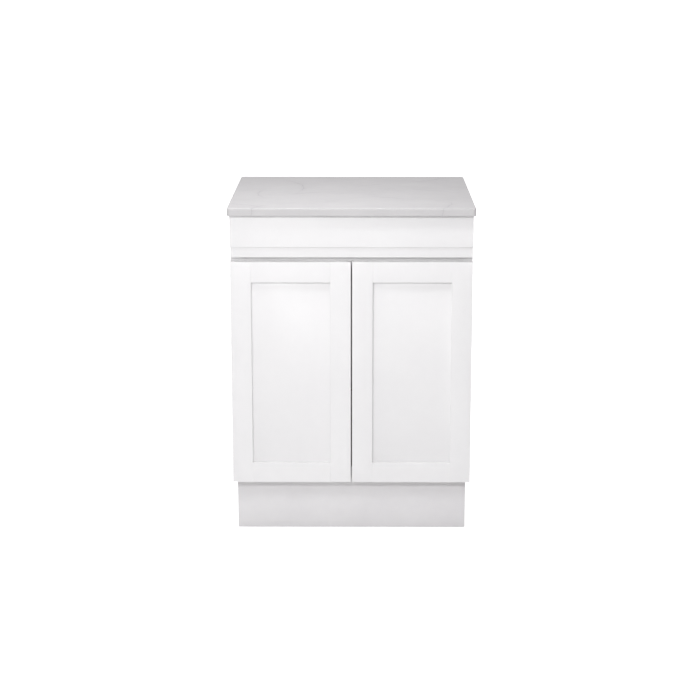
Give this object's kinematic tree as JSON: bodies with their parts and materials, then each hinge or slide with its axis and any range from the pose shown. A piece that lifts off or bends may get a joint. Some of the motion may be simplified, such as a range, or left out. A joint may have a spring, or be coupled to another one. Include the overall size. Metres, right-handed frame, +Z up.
{
  "type": "bathroom vanity cabinet",
  "caption": "White handle-less shaker vanity cabinet with a plain veined stone slab top, a false drawer front, hinged doors and a recessed toe kick.",
  "frame": {"origin": "on the floor, under the middle of the countertop", "axes": "+X to the right of someone facing the doors, +Y from the doors to the wall, +Z up"},
  "size_m": [0.62, 0.559, 0.864],
  "materials": {
    "stone_top": "polished, pale grey with thin grey veins",
    "white_paint": "satin white lacquer",
    "white_board": "matt white faced board",
    "nickel": "nickel plate",
    "bumper": "soft translucent"
  },
  "bodies": {
    "cabinet": {"back_panel": "white_board", "bottom_panel": "white_board", "corner_brace_front_left": "white_board", "corner_brace_front_right": "white_board", "corner_brace_rear_left": "white_board", "corner_brace_rear_right": "white_board", "countertop": "stone_top", "false_drawer_front": "white_paint", "false_front_cleat_left": "white_board", "false_front_cleat_right": "white_board", "frame_rail_bottom": "white_paint", "frame_rail_middle": "white_paint", "frame_rail_top": "white_paint", "frame_stile_left": "white_paint", "frame_stile_right": "white_paint", "hanging_rail_bottom": "white_board", "hanging_rail_top": "white_board", "hinge_arm_left_lower": "nickel", "hinge_arm_left_upper": "nickel", "hinge_arm_right_lower": "nickel", "hinge_arm_right_upper": "nickel", "hinge_base_left_lower": "nickel", "hinge_base_left_upper": "nickel", "hinge_base_right_lower": "nickel", "hinge_base_right_upper": "nickel", "side_panel_left": "white_paint", "side_panel_right": "white_paint", "toe_kick_board": "white_board", "toe_kick_skin": "white_paint"},
    "door_left": {"door_left_bottom_rail": "white_paint", "door_left_bumper_lower": "bumper", "door_left_bumper_upper": "bumper", "door_left_hinge_cup_lower": "nickel", "door_left_hinge_cup_upper": "nickel", "door_left_hinge_pin_lower": "nickel", "door_left_hinge_pin_upper": "nickel", "door_left_hinge_stile": "white_paint", "door_left_meeting_stile": "white_paint", "door_left_panel": "white_paint", "door_left_top_rail": "white_paint"},
    "door_right": {"door_right_bottom_rail": "white_paint", "door_right_bumper_lower": "bumper", "door_right_bumper_upper": "bumper", "door_right_hinge_cup_lower": "nickel", "door_right_hinge_cup_upper": "nickel", "door_right_hinge_pin_lower": "nickel", "door_right_hinge_pin_upper": "nickel", "door_right_hinge_stile": "white_paint", "door_right_meeting_stile": "white_paint", "door_right_panel": "white_paint", "door_right_top_rail": "white_paint"}
  },
  "joints": [
    {"name": "left_door_hinge", "type": "hinge", "parent": "cabinet", "child": "door_left", "pos_m": [-0.2955, -0.2567, 0.4375], "axis": [0, 0, -1], "range_deg": [0, 95]},
    {"name": "right_door_hinge", "type": "hinge", "parent": "cabinet", "child": "door_right", "pos_m": [0.2955, -0.2567, 0.4375], "axis": [0, 0, 1], "range_deg": [0, 95]}
  ]
}
